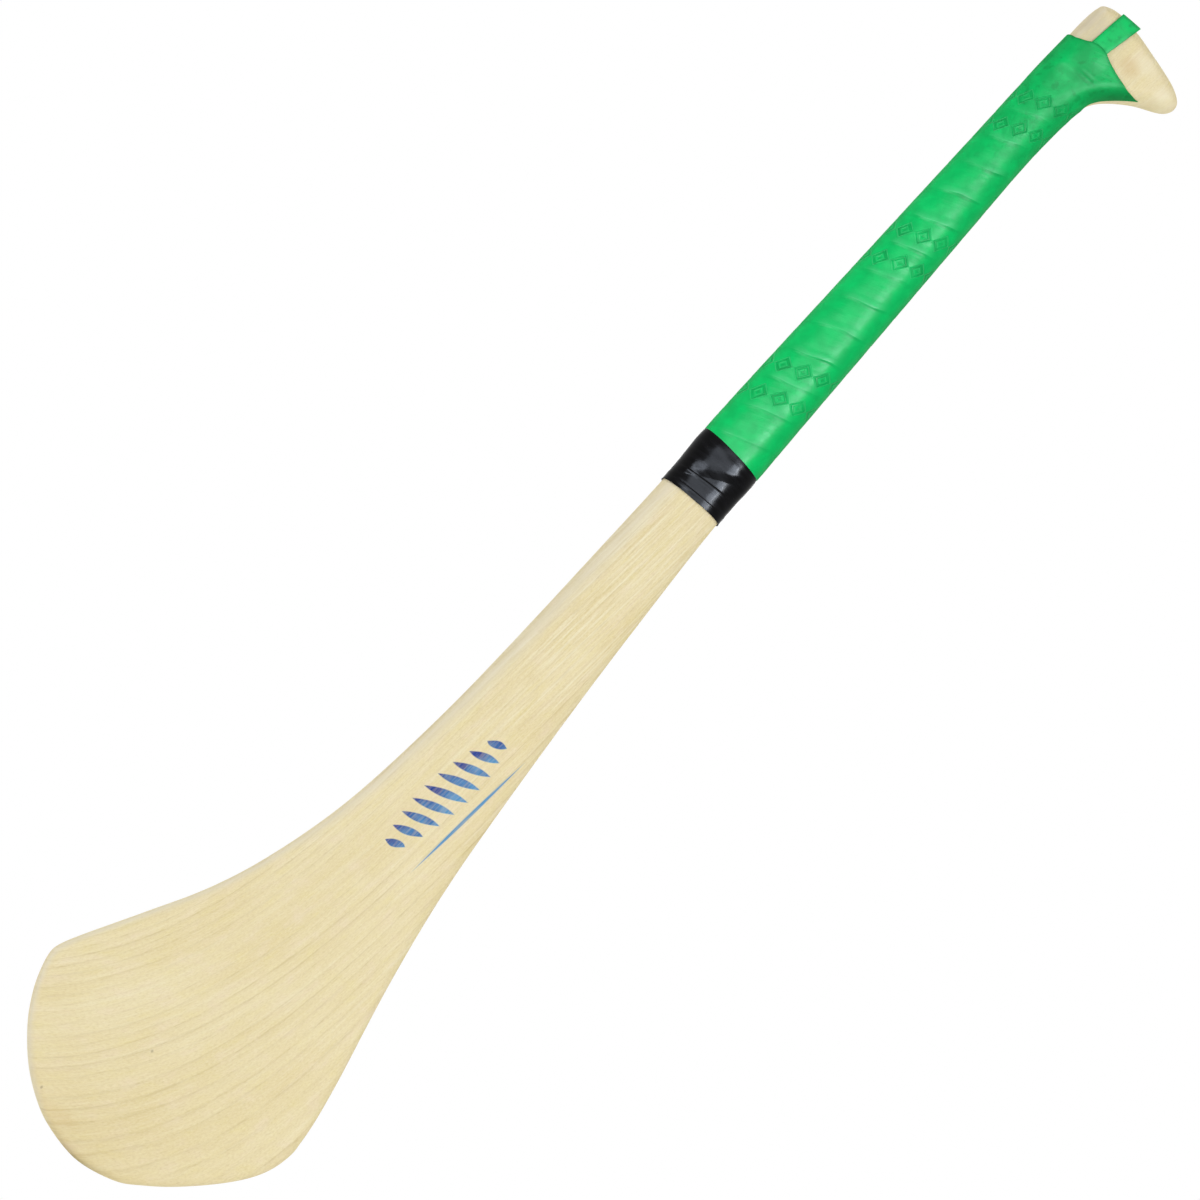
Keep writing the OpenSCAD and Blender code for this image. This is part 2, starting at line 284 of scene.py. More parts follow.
ASH_PALE = srgb(235, 221, 178)
ASH_MID = srgb(229, 212, 162)
ASH_LINE = srgb(207, 187, 134)
ASH_PORE = srgb(196, 172, 118)
ASH_LIGHT = srgb(243, 234, 203)
ASH_REFLECTED_GREY = srgb(232, 224, 204)
ASH_ROSE = srgb(236, 219, 186)
ASH_STRAW = srgb(232, 217, 160)
ASH_WARM = srgb(219, 194, 141)
ASH_KNOB_GREY = srgb(204, 193, 166)
ASH_KNOT = srgb(120, 92, 62)
ASH_SPECULAR = 0.12
STICK_ENDS = (-690.0, 196.0)
RING_DRIFT = 1.2
RING_WAVER = 0.35
PORE_STRENGTH = 0.34
PORE_HEIGHT = -0.8
FIBRE_HEIGHT = 0.4
ASH_RELIEF = (0.1, 0.4)
TOE_REFLECTION_WISPS = 0.3

ash, tree, shader = new_material("sanded_ash")
grain_at = add(tree, "Attribute", attribute_name="grain").outputs["Vector"]
grain_parts = add(tree, "SeparateXYZ", {0: grain_at}).outputs


def along_grain(across, along, detail=2.0, roughness=0.5):
    """Noise drawn out along the grain; across and along say how fine it is each way, per millimetre."""
    return stretched_noise(tree, grain_at, (0.0, across, along), detail, roughness)


# Each year's ring opens with a row of pores, seen as a thin broken line, strong in some years only.
drift = along_grain(0.11, 0.004)
waver = along_grain(0.3, 0.03)
ring = calc(tree, "MULTIPLY_ADD", waver, RING_WAVER, grain_parts["X"])
ring = calc(tree, "MULTIPLY_ADD", drift, RING_DRIFT, ring)
saw = calc(tree, "FRACT", ring)
ring_line = ramp(tree, saw, (0.0, 0.7), (0.06, 1.0), (0.18, 0.3), (0.45, 0.08), (0.9, 0.0), (1.0, 0.7))
year = add(tree, "TexWhiteNoise", {"W": calc(tree, "FLOOR", ring)}, noise_dimensions="1D").outputs[0]
year_depth = ramp(tree, year, (0.0, 0.25), (0.5, 0.5), (0.85, 0.9), (1.0, 1.0))
wisps = along_grain(0.5, 0.05, detail=3.0, roughness=0.7)
ring_depth = times(tree, year_depth, ramp(tree, wisps, (0.34, 0.15), (0.6, 1.0)))
late_wood = times(tree, ring_line, ring_depth)
pores = along_grain(1.3, 0.12, roughness=0.6)
near_ring = ramp(tree, late_wood, (0.0, 0.3), (0.6, 1.0))
pore_dashes = times(tree, ramp(tree, pores, (0.56, 0.0), (0.68, 1.0)), near_ring)
# The fibres show most up the shaft, and the lines of the rings a little more in the bas.
up_stick = between(tree, grain_parts["Z"], *STICK_ENDS)
brushed = ramp(tree, up_stick, (0.15, 0.3), (0.32, 0.5), (0.5, 1.0), (0.92, 0.8), (0.97, 0.4))
lined = ramp(tree, up_stick, (0.2, 0.62), (0.36, 0.66), (0.5, 0.55), (0.92, 0.5), (0.97, 0.2))
cloud = along_grain(0.05, 0.016)
mottle = along_grain(0.16, 0.07, detail=3.0, roughness=0.6)
streaks = along_grain(0.5, 0.012, roughness=0.6)
flecks = along_grain(1.5, 0.6, roughness=0.7)
fibres = along_grain(0.85, 0.06, detail=3.0, roughness=0.65)
# The toe-side edge is painted greyer and paler, a painted reflection of the white room on its rounding.
facing = facing_parts(tree)
toe_side_reflection = calc(tree, "MULTIPLY_ADD", facing["X"], -1.0, times(tree, wisps, TOE_REFLECTION_WISPS))
body = blend(tree, ramp(tree, cloud, (0.3, 0.0), (0.7, 1.0)), ASH_PALE, ASH_MID)
body = layered(
    tree, body,
    (ramp(tree, mottle, (0.28, 0.7), (0.48, 0.0)), ASH_ROSE),
    (ramp(tree, mottle, (0.54, 0.0), (0.72, 0.7)), ASH_STRAW),
    (times(tree, ramp(tree, streaks, (0.3, 0.8), (0.47, 0.0)), brushed), ASH_LIGHT),
    (times(tree, ramp(tree, streaks, (0.53, 0.0), (0.7, 0.7)), brushed), ASH_STRAW),
    (ramp(tree, flecks, (0.5, 0.0), (0.75, 0.4)), ASH_LINE),
    (ramp(tree, flecks, (0.25, 0.4), (0.48, 0.0)), ASH_LIGHT),
    (times(tree, late_wood, lined), ASH_LINE),
    (times(tree, ramp(tree, fibres, (0.52, 0.0), (0.74, 0.5)), brushed), ASH_LINE),
    (times(tree, ramp(tree, fibres, (0.28, 0.6), (0.46, 0.0)), brushed), ASH_LIGHT),
    (times(tree, pore_dashes, PORE_STRENGTH), ASH_PORE),
    (ramp(tree, toe_side_reflection, (0.3, 0.0), (0.75, 0.6), (1.0, 0.35)), ASH_REFLECTED_GREY),
)

# The knob is greyer on its toe side, with a tan patch, and it is painted paler towards its hook,
# a painted highlight where the hook rounds away from the light. The toe's end is a little warm, and
# there are two pin knots in the bas. A patch is given by its place across and up the stick, its half
# width and half height, its strength and its tint.
SPOT_EDGE = (0.2, 1.2)
KNOB_AND_TOE_PATCHES = (
    (-3, 179, 13, 15, 0.65, ASH_KNOB_GREY),
    (28, 173.5, 8, 7, 0.75, ASH_WARM),
    # These two pale patches are painted highlight, lifting the shade of the hook.
    (36, 181, 11, 8, 0.5, ASH_LIGHT),
    (55, 173, 9, 8, 0.6, ASH_LIGHT),
    (-52, -678, 14, 6, 0.4, ASH_WARM),
)
PIN_KNOTS = ((-35.8, -618), (-69.8, -672.5))
PIN_KNOT_SIZE = (0.9, 1.2)
PIN_KNOT_STRENGTH = 0.45
place = add(tree, "TexCoord").outputs["Object"]
on_front = calc(tree, "LESS_THAN", facing["Y"], 0.0)


def spot(x, z, width, height):
    """1 in the middle of an oval on the front of the stick, in millimetres, and 0 outside it."""
    middle = (-x / width, 0.0, -z / height)
    scale = (1 / (width * MM), 0.0, 1 / (height * MM))
    moved = add(tree, "Mapping", {"Vector": place, "Location": middle, "Scale": scale}).outputs[0]
    far = add(tree, "VectorMath", {0: moved}, operation="LENGTH").outputs["Value"]
    ends = {"From Min": SPOT_EDGE[0], "From Max": SPOT_EDGE[1], "To Min": 1.0, "To Max": 0.0}
    oval = add(tree, "MapRange", {"Value": far, **ends}, interpolation_type="SMOOTHSTEP").outputs[0]
    return times(tree, oval, on_front)


for x, z, width, height, strength, tint in KNOB_AND_TOE_PATCHES:
    patch = times(tree, spot(x, z, width, height), strength)
    patch = times(tree, patch, ramp(tree, wisps, (0.3, 0.5), (0.6, 1.0)))
    body = blend(tree, patch, body, tint)
for x, z in PIN_KNOTS:
    body = blend(tree, times(tree, spot(x, z, *PIN_KNOT_SIZE), PIN_KNOT_STRENGTH), body, ASH_KNOT)

# A plain row of leaf-shaped strokes, over a thin rule, is stamped on the front in blue ink.
INK_DARK = srgb(14, 50, 138)
INK_PALE = srgb(70, 140, 192)
INK_SOFT = 0.25
INK_BLOTCHES = 120.0
INK_BLOTCHING = 1.4
INK_FADING = 0.03
STAMP_MIDDLE = (-0.003, 0.0, -0.402)
STAMP_LEAN = math.radians(5.9)
STAMP_FACING = -0.4
STROKE_PITCH = 10.0
STROKE_HALF = 12.0
STROKE_WIDTH = 2.6
STROKE_LEAN = 0.45
ROW_HALF = 54.0
ROW_CUT = 45.0
RULE_PLACE = 18.0
RULE_HALF = 42.0
RULE_WIDTH = 0.9

stamp_set = {"Location": STAMP_MIDDLE, "Rotation": (0.0, STAMP_LEAN, 0.0), "Scale": (MM, MM, MM)}
stamp = add(tree, "Mapping", {"Vector": place, **stamp_set}, vector_type="TEXTURE").outputs[0]
stamp = add(tree, "SeparateXYZ", {0: stamp}).outputs
leaned = calc(tree, "MULTIPLY_ADD", stamp["X"], -STROKE_LEAN, stamp["Z"])
in_stroke = calc(tree, "PINGPONG", leaned, STROKE_PITCH / 2)
squared = times(tree, leaned, leaned)
row_half = calc(tree, "MULTIPLY_ADD", squared, -STROKE_HALF / ROW_HALF ** 2, STROKE_HALF)
up_stroke = calc(tree, "DIVIDE", stamp["X"], calc(tree, "MAXIMUM", row_half, 1.0))
leaf = calc(tree, "MULTIPLY_ADD", times(tree, up_stroke, up_stroke), -STROKE_WIDTH, STROKE_WIDTH)
leaf = calc(tree, "SUBTRACT", leaf, in_stroke)
leaf = calc(tree, "MINIMUM", leaf, calc(tree, "SUBTRACT", ROW_CUT, calc(tree, "ABSOLUTE", leaned)))
squared = times(tree, stamp["Z"], stamp["Z"])
rule = calc(tree, "MULTIPLY_ADD", squared, -RULE_WIDTH / RULE_HALF ** 2, RULE_WIDTH)
from_rule = calc(tree, "ABSOLUTE", calc(tree, "SUBTRACT", stamp["X"], RULE_PLACE))
rule = calc(tree, "SUBTRACT", rule, from_rule)
inked = between(tree, calc(tree, "MAXIMUM", leaf, rule), -INK_SOFT, INK_SOFT)
inked = times(tree, inked, calc(tree, "LESS_THAN", facing["Y"], STAMP_FACING))
ink_taken = times(tree, inked, ramp(tree, fibres, (0.42, 1.0), (0.72, 0.7)))
blotches = noise(tree, place, INK_BLOTCHES, detail=3.0)
tone = calc(tree, "MULTIPLY_ADD", blotches, INK_BLOTCHING, times(tree, stamp["X"], INK_FADING))
ink = blend(tree, ramp(tree, tone, (0.4, 0.0), (1.0, 1.0)), INK_DARK, INK_PALE)
body = blend(tree, ink_taken, body, ink)
tree.links.new(body, shader.inputs["Base Color"])
# Sanded wood doesn't shine at a glancing angle, because its fibres stand up a little.
glancing = ramp(tree, add(tree, "LayerWeight").outputs["Facing"], (0.5, 0.0), (0.95, 0.4))
dulled = calc(tree, "ADD", ramp(tree, fibres, (0.2, 0.54), (0.8, 0.68)), glancing)
tree.links.new(dulled, shader.inputs["Roughness"])
relief = calc(tree, "MULTIPLY_ADD", pore_dashes, PORE_HEIGHT, times(tree, fibres, FIBRE_HEIGHT))
emboss(tree, shader, relief, *ASH_RELIEF)
shader.inputs["Specular IOR Level"].default_value = ASH_SPECULAR

stick.data.materials.append(ash)
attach(stick, "root")
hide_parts("ash_stick")


# Starter strap
# The tail that the winding begins from: a narrow strip of soft green grip foam, laid flat up the
# front of the knob. Its foot is held under the winding, and its end is cut off past the knob's edge.
STRAP_FOOT = 150.0
STRAP_END = 194.6
STRAP_MIDDLE = (7.6, 170.5)
STRAP_LEAN = 0.19
STRAP_WIDTHS = (11.2, 13.2)
STRAP_THICK = 1.2
STRAP_LIFT = 0.2
STRAP_FREE = 5.0
STRAP_EASING = 2.0
STRAP_ROWS = 60
STRAP_POINTS = 48
STRAP_SQUARE = 7.0
STRAP_CROWN = 0.35
STRAP_CROWN_POWER = 4
STRAP_RIM = 2.2
STRAP_RIM_POWER = 7
# The cut end is a little rounded: its last rows rise less and less, and draw in to what is left.
STRAP_CUT_RISE = np.array([0.12, 0.3, 0.34, 0.34])
STRAP_CUT_LEFT = np.array([0.98, 0.85, 0.55, 0.0])
STRAP_CUT_NARROW = 0.06


def ease(low, high, value):
    """0 up to low, 1 from high on, and a smooth step between."""
    t = np.clip((value - low) / (high - low), 0, 1)
    return t * t * (3 - 2 * t)


def wood_at(angle, height):
    """Points on the stick at angles round it, where 0 is the toe side and 90 the front."""
    row = np.interp(height, WOOD_HEIGHTS, places_along).ravel()
    column = (np.ravel(angle) % 360) / 360 * RING_POINTS
    first, base = np.floor(column).astype(int), np.clip(row.astype(int), 0, len(RINGS) - 2)
    columns = []
    for step in range(-1, 3):
        rows = np.stack([STACK[base + k, (first + step) % RING_POINTS] for k in range(4)])
        columns.append(curve_point(rows, (row - base)[:, None]))
    return curve_point(np.stack(columns), (column - first)[:, None]).reshape(*np.shape(height), 3)


def strap_middle(height):
    """Where the middle of the strap lies across the knob."""
    return STRAP_MIDDLE[0] + STRAP_LEAN * (height - STRAP_MIDDLE[1])


def angle_across(x, height):
    """The angle round the stick of a place across its front."""
    toe = wood_at(np.zeros_like(height), height)[..., 0]
    heel = wood_at(np.full_like(height, 180), height)[..., 0]
    return np.degrees(np.arccos(np.clip(1 - 2 * (x - toe) / (heel - toe), -1, 1)))


def squared_loop(points, square):
    """A loop of (across, up) with rounded corners, from -1 to 1 each way."""
    turn = np.arange(points) / points * 2 * math.pi
    waves = np.stack([np.cos(turn), np.sin(turn)])
    return np.sign(waves) * np.abs(waves) ** (2 / square)


def lay_value(piece, name, values):
    """Lays a named value on every point of a piece, for its material to read."""
    layer = piece.data.attributes.new(name, "FLOAT", "POINT")
    layer.data.foreach_set("value", np.asarray(values, np.float32).ravel())


side, up = squared_loop(STRAP_POINTS, STRAP_SQUARE)
strap_height = np.linspace(STRAP_FOOT, STRAP_END, STRAP_ROWS)
strap_height = np.concatenate([strap_height, STRAP_END + STRAP_CUT_RISE])
shrink = np.concatenate([[0.0], np.ones(STRAP_ROWS - 1), STRAP_CUT_LEFT])
wide = np.interp(strap_height, (STRAP_MIDDLE[1], STRAP_END), STRAP_WIDTHS) / 2
wide = wide * np.where(shrink > 0, 1 - STRAP_CUT_NARROW * (1 - shrink), 0)
strap_x = strap_middle(strap_height)[:, None] + wide[:, None] * side
last_touch = STRAP_END - STRAP_FREE
lies_at = last_touch - STRAP_EASING * np.log1p(np.exp((last_touch - strap_height) / STRAP_EASING))
lies_at = lies_at[:, None] + 0 * strap_x
strap_rest = wood_at(angle_across(strap_x, lies_at), lies_at)[..., 1]
crowned = 0.5 + 0.5 * up * (1 - STRAP_CROWN * (up > 0) * side ** STRAP_CROWN_POWER) * shrink[:, None]
strap_y = strap_rest - STRAP_LIFT - STRAP_THICK * crowned
strap_z = strap_height[:, None] + 0 * strap_x
strap = closed_rings_mesh("strap", np.stack([strap_x, strap_y, strap_z], -1))
# The rim value marks the strap's edges and cut end, where the material paints shade.
at_end = ease(STRAP_RIM, 0.0, STRAP_END - strap_height)[:, None]
lay_value(strap, "rim", np.maximum(at_end, np.abs(side) ** STRAP_RIM_POWER + 0 * strap_x))
weld(strap)

FOAM_LIGHT = srgb(0, 204, 104)
FOAM_DARK = srgb(0, 189, 95)
FOAM_DEEP = srgb(0, 140, 66)
FOAM_HIGHLIGHT = srgb(96, 218, 148)
FOAM_SPECULAR = 0.075
FOAM_CLOUDS = 130.0
FOAM_PEBBLES = 1500.0
STRAP_CREASES = 260.0
STRAP_HIGHLIGHT_HEIGHTS = (0.164, 0.174)
STRAP_HIGHLIGHT_STRENGTH = 0.7
STRAP_RIM_SHADE = 0.75
STRAP_RELIEF = (0.15, 0.05)


def grip_foam():
    """The skin of the green grip foam: its colour, its roughness and its fine relief."""
    group = bpy.data.node_groups.new("grip_foam", "ShaderNodeTree")
    group.interface.new_socket("Light", in_out="INPUT", socket_type="NodeSocketColor")
    group.interface.new_socket("Dark", in_out="INPUT", socket_type="NodeSocketColor")
    for name, kind in (("Colour", "Color"), ("Roughness", "Float"), ("Height", "Float")):
        group.interface.new_socket(name, in_out="OUTPUT", socket_type="NodeSocket" + kind)
    given = group.nodes.new("NodeGroupInput").outputs
    result = group.nodes.new("NodeGroupOutput").inputs
    place = add(group, "TexCoord").outputs["Object"]
    cloud = noise(group, place, FOAM_CLOUDS, detail=4.0)
    colour = blend(group, ramp(group, cloud, (0.35, 0.0), (0.65, 1.0)), given["Light"], given["Dark"])
    group.links.new(colour, result["Colour"])
    group.links.new(ramp(group, cloud, (0.32, 0.29), (0.68, 0.38)), result["Roughness"])
    group.links.new(noise(group, place, FOAM_PEBBLES), result["Height"])
    return group


def laid_value(tree, name):
    """A value that was laid on the points of a piece."""
    return add(tree, "Attribute", attribute_name=name).outputs["Fac"]


FOAM_SKIN = grip_foam()
strap_foam, tree, shader = new_material("strap_foam")
skin = add(tree, "Group", {"Light": FOAM_LIGHT, "Dark": FOAM_DARK}, node_tree=FOAM_SKIN).outputs
place = add(tree, "TexCoord").outputs["Object"]
creases = noise(tree, place, STRAP_CREASES, detail=3.0)
# It has a painted highlight where it comes out from under the winding, and painted shade along its edges.
up_strap = add(tree, "SeparateXYZ", {0: place}).outputs["Z"]
foot_highlight = between(tree, up_strap, *STRAP_HIGHLIGHT_HEIGHTS, STRAP_HIGHLIGHT_STRENGTH, 0.0)
foot_highlight = times(tree, foot_highlight, ramp(tree, creases, (0.35, 1.0), (0.6, 0.3)))
colour = layered(
    tree, skin["Colour"],
    (foot_highlight, FOAM_HIGHLIGHT),
    (ramp(tree, creases, (0.52, 0.0), (0.7, 0.5)), FOAM_DEEP),
    (times(tree, laid_value(tree, "rim"), STRAP_RIM_SHADE), FOAM_DEEP),
)
tree.links.new(colour, shader.inputs["Base Color"])
tree.links.new(skin["Roughness"], shader.inputs["Roughness"])
emboss(tree, shader, skin["Height"], *STRAP_RELIEF)
shader.inputs["Specular IOR Level"].default_value = FOAM_SPECULAR

strap.data.materials.append(strap_foam)
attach(strap, "root")
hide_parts("starter_strap")


# Adhesive backing
# The sticky film on the inside of the grip strip, which bonds it to the wood: pale gum on a thin
# film. It goes over the foot of the strap and stops a little inside the cut edge of the strip.
WRAP_BOTTOM = -178.0
WRAP_LEVEL_END = 110.0
WRAP_SLANT_END = 170.0
WRAP_ROWS = 540
# The cut edge at the knob, as angles round the handle and heights.
WRAP_EDGE = np.array([
    (0, 167.3), (29, 166.2), (41, 167.6), (46, 168.7), (50, 170.0), (56, 170.7), (63, 170.8), (70, 169.9),
    (76, 168.3), (81, 167.3), (95, 165.1), (107, 163.7), (117, 162.8), (130, 161.9), (141, 161.8),
    (152, 162.0), (157.5, 162.8), (160, 161.0), (161.5, 156.0), (163, 149.0), (165.5, 143.0), (172, 139.5),
    (185, 138.0), (214, 138.5), (240, 141.0), (275, 145.0), (320, 157.0), (360, 167.3),
])
WRAP_EDGE_EASING = np.linspace(-1.2, 1.2, 7)
# The columns of points, from one angle to another by steps, stand closer where the cut edge runs down
# the underside of the hook.
WRAP_COLUMNS = ((0, 155, 2.5), (155, 168, 0.65), (168.5, 360, 2.5))
SLOPE_HEIGHT = 0.5
SLOPE_ANGLE = 1.5
BULGE_BESIDE = (7.5, -1.5)
BULGE_BELOW = (7.0, -1.0)
BACKING_LIFT = 0.1
BACKING_TOP = 0.3
BACKING_ROW_STEP = 7
BACKING_END_ROWS = 3


def edge_height(angle):
    """Height of the winding's cut edge at an angle round the handle."""
    nearby = [np.interp(angle + turn, *WRAP_EDGE.T, period=360) for turn in WRAP_EDGE_EASING]
    return np.mean(nearby, axis=0)


def stood_off(angle, height, depth):
    """Points that stand off the wood by a depth, square to its surface."""
    middle = wood_at(angle, height)
    along = wood_at(angle, height + SLOPE_HEIGHT) - wood_at(angle, height - SLOPE_HEIGHT)
    across = wood_at(angle + SLOPE_ANGLE, height) - wood_at(angle - SLOPE_ANGLE, height)
    out = np.cross(across, along)
    return middle + out / np.linalg.norm(out, axis=-1, keepdims=True) * np.asarray(depth)[..., None]


def strap_bulge(angle, height):
    """How far the winding is pushed out by the strap under it."""
    x = wood_at(angle, height)[..., 0]
    beside = np.abs(x - strap_middle(height)) - STRAP_WIDTHS[0] / 2
    over = ease(*BULGE_BESIDE, beside) * ease(*BULGE_BELOW, STRAP_FOOT - height) * (angle < 180)
    return STRAP_THICK * over


wrap_angle = np.concatenate([np.arange(*columns) for columns in WRAP_COLUMNS])
level = np.linspace(WRAP_BOTTOM, WRAP_SLANT_END, WRAP_ROWS)[:, None]
slant = ease(WRAP_LEVEL_END, WRAP_SLANT_END, level)
wrap_angles = np.repeat(wrap_angle[None], WRAP_ROWS, axis=0)
wrap_heights = level + (edge_height(wrap_angle)[None] - WRAP_SLANT_END) * slant
inner_rows = np.arange(WRAP_ROWS - 1, -1, -BACKING_ROW_STEP)
film_rows = inner_rows[BACKING_END_ROWS:]
angles, heights = wrap_angles[film_rows], wrap_heights[film_rows]
over_strap = strap_bulge(angles, heights)
film_out = stood_off(angles, heights, BACKING_TOP + over_strap)
film_in = stood_off(angles, heights, BACKING_LIFT + over_strap)[::-1]
backing = closed_rings_mesh("backing", np.concatenate([film_out, film_in, film_out[:1]]))
weld(backing)

GUM_PALE = srgb(222, 216, 198)
GUM_DARK = srgb(196, 187, 162)
GUM_STREAKS = (300.0, 300.0, 60.0)

backing_gum, tree, shader = new_material("backing_gum")
streaks = stretched_noise(tree, add(tree, "TexCoord").outputs["Object"], GUM_STREAKS, detail=3.0)
tree.links.new(blend(tree, streaks, GUM_PALE, GUM_DARK), shader.inputs["Base Color"])
tree.links.new(ramp(tree, streaks, (0.3, 0.35), (0.7, 0.6)), shader.inputs["Roughness"])

backing.data.materials.append(backing_gum)
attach(backing, "root")
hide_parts("adhesive_backing")


# Grip wrap
# One strip of soft green foam, a little over 20 mm of it showing in each turn, wound up the handle
# under tension so that each turn laps over the turn below. At the knob it is stretched smooth
# and cut off on a slant, and its lower end is pared on a slant under the tape.
WRAP_PITCH = 21.1
WRAP_SEAM = -11.9
WRAP_FRONT_CLIMB = 0.135
# The strip strays in waves: how far, in turns, how many of them round the handle, and how fast up it.
WRAP_STRAYS = ((0.016, 3, 0.11), (0.01, 7, -0.23))
WRAP_DEPTH = 1.6
WRAP_INSIDE = 0.35
WRAP_LEAST = 0.05
WRAP_ROUNDING = ((0.18, 0.88), (0.3, 0.6), (0.3, 0.3), (0.15, 0.0))
WRAP_EDGE_MARK = (1.6, 0.2)
KNOB_STRETCH = 0.5
KNOB_STRETCH_START = 150.0
HOOK_STRETCH = 0.5
HOOK_ANGLE = 163.0
HOOK_REACH = (50.0, 4.0)
HOOK_HEIGHTS = (132.0, 146.0)
FOLDS = ((154.5, 1.0), (153.0, -1.0), (151.2, 0.8), (149.7, -0.8))
FOLD_MIDDLE = 12.5
FOLD_REACH = 4.5
FOLD_WIDTH = 0.8
FOLD_DEPTH = 0.15
LAP_HEIGHT = 0.4
LAP_WIDTH = 0.26
LAP_STEP = 0.055
LAP_FACES = (0.8, 0.4)
LAP_ON_SIDES = 0.3
LAP_MARK_ON_SIDES = 0.25
HEEL_HALF = (0.45, -0.3)
LAPS_FADE = (104.0, 132.0)
TURN_CROWN = 0.12
PULL = 0.7
PULL_SPREAD = 0.3
PULL_CHANGE = (2.3, 1.1)
TAPE_TOP = -145.6
TAPE_DROP = 4.2
TAPE_CLEAR = 6.0
STRIP_END = -163.5
STRIP_END_LEAN = 0.45
STRIP_END_RUN = 11.0
STRIP_END_EASE = 0.3
STRIP_END_SIDES = (-185.5, -147.0)
STRIP_END_FACES = (1.0, 0.6)


def wrap_turn(angle, height):
    """Turns of the strip from the seam at the middle of the front, counted up the handle."""
    climb = (angle - 90) / 360 - WRAP_FRONT_CLIMB * np.cos(np.radians(angle))
    strays = [far * np.sin(np.radians(waves * angle) + rate * height) for far, waves, rate in WRAP_STRAYS]
    return (height - WRAP_SEAM) / WRAP_PITCH - climb + sum(strays)


def winding_pull(turn, angle):
    """How hard the strip was pulled, which the hand that winds it never keeps quite even."""
    once, twice = np.radians(angle), np.radians(2 * angle)
    uneven = np.sin(once + PULL_CHANGE[0] * turn) * np.cos(twice + PULL_CHANGE[1] * turn)
    return PULL + PULL_SPREAD * uneven


def lap_ridge(turn):
    """How far the strip stands up along its lower edge, where it lies on the turn below."""
    share = turn - np.floor(turn)
    fall = 1 - ease(0, LAP_WIDTH, share)
    step = ease(1 - LAP_STEP, 1, share)
    return LAP_HEIGHT * np.maximum(fall, step)


def face_share(angle, none, full):
    """1 on the two broad faces, and 0 where the handle has turned towards its sides."""
    return ease(none, full, np.abs(np.cos(np.radians(angle))))


def tape_top(angle):
    """Height of the tape's upper edge at an angle round the handle."""
    return TAPE_TOP - TAPE_DROP * (1 - np.cos(np.radians(angle))) / 2


def strip_left(angle, x, height):
    """The share of the strip's thickness that is left towards its pared lower end."""
    middle = STRIP_END + STRIP_END_LEAN * x
    half_run = (STRIP_END_RUN - STRIP_END_EASE * x) / 2
    on_faces = ease(middle - half_run, middle + half_run, height)
    on_sides = ease(*STRIP_END_SIDES, height)
    return on_sides + (on_faces - on_sides) * face_share(angle, *STRIP_END_FACES)


angles, heights = wrap_angles, wrap_heights
x = wood_at(angles, heights)[..., 0]
turn = wrap_turn(angles, heights)
above_tape = ease(0.0, TAPE_CLEAR, heights - tape_top(angles))
lap_strength = winding_pull(turn, angles) * (1 - ease(*LAPS_FADE, heights)) * above_tape
# Round the sides the strip is pulled tight, so its laps stand up on the two faces only.
on_face = face_share(angles, *LAP_FACES)
laps = lap_ridge(turn) * lap_strength * (LAP_ON_SIDES + (1 - LAP_ON_SIDES) * on_face)
crown = TURN_CROWN * np.sin(np.pi * (turn - np.floor(turn))) * above_tape
# The strip is stretched thin over the knob, and thinner still round the hook.
stretched = KNOB_STRETCH * ease(KNOB_STRETCH_START, WRAP_SLANT_END, level)
beside_hook = np.abs(angles - HOOK_ANGLE)
stretched = stretched + HOOK_STRETCH * ease(*HOOK_REACH, beside_hook) * ease(*HOOK_HEIGHTS, heights)
# Over the strap's foot the strip is drawn into two short folds.
folds = sum(rise * np.exp(-((heights - z) / FOLD_WIDTH) ** 2) for z, rise in FOLDS)
folds = folds * np.exp(-((x - FOLD_MIDDLE) / FOLD_REACH) ** 2) * (angles < 180)
over_strap = strap_bulge(angles, heights)
body = np.maximum(WRAP_DEPTH * strip_left(angles, x, heights), WRAP_INSIDE + WRAP_LEAST)
depth = body - stretched + laps + crown + over_strap + FOLD_DEPTH * folds
outer = stood_off(angles, heights, depth)
# The cut edge is rounded over, and the inner face runs back down the handle close to the wood.
inner_edge = WRAP_INSIDE + over_strap[-1]
edge_rows = np.stack([
    stood_off(wrap_angle, heights[-1] + rise, inner_edge + (depth[-1] - inner_edge) * share)
    for rise, share in WRAP_ROUNDING
])
inner = stood_off(angles[inner_rows], heights[inner_rows], WRAP_INSIDE + over_strap[inner_rows])
wrap_rings = np.concatenate([outer, edge_rows, inner, outer[:1]])
edge_heights = np.repeat(heights[-1:], len(edge_rows), axis=0)
wrap_height = np.concatenate([heights, edge_heights, heights[inner_rows], heights[:1]])
wrap_height = np.concatenate([wrap_height, wrap_height[:, :1]], axis=1)
whole_angle = np.concatenate([wrap_angle, [360.0]])
round_handle = np.broadcast_to(whole_angle / 360, wrap_height.shape)
strip = np.stack([round_handle, wrap_turn(whole_angle[None], wrap_height)], -1)
wrap = closed_rings_mesh("wrap", wrap_rings, strip)
# Values for the material: they are laid on the outside, the cut edge and the hidden inside in turn.
in_edge = np.ones(edge_rows.shape[:2])
hidden = np.zeros((len(inner_rows) + 1, len(wrap_angle)))
near_edge = ease(*WRAP_EDGE_MARK, heights[-1:] - heights) * (heights > WRAP_LEVEL_END)
heel_half = ease(*HEEL_HALF, np.cos(np.radians(angles)))
lap_mark = LAP_MARK_ON_SIDES + (1 - LAP_MARK_ON_SIDES) * on_face * heel_half
# The dark edge value is painted shade along the cut edge and in the folds; the light fold value is painted
# highlight on the folds.
for name, outside, edge in (
    ("lap_highlight", lap_strength * on_face, 0 * in_edge),
    ("lap_shade", lap_strength * lap_mark, 0 * in_edge),
    ("edge_and_fold_shade", np.maximum(near_edge, np.clip(-folds, 0, 1)), in_edge),
    ("fold_highlight", np.clip(folds, 0, 1), 0 * in_edge),
):
    lay_value(wrap, name, np.concatenate([outside, edge, hidden]))
weld(wrap)

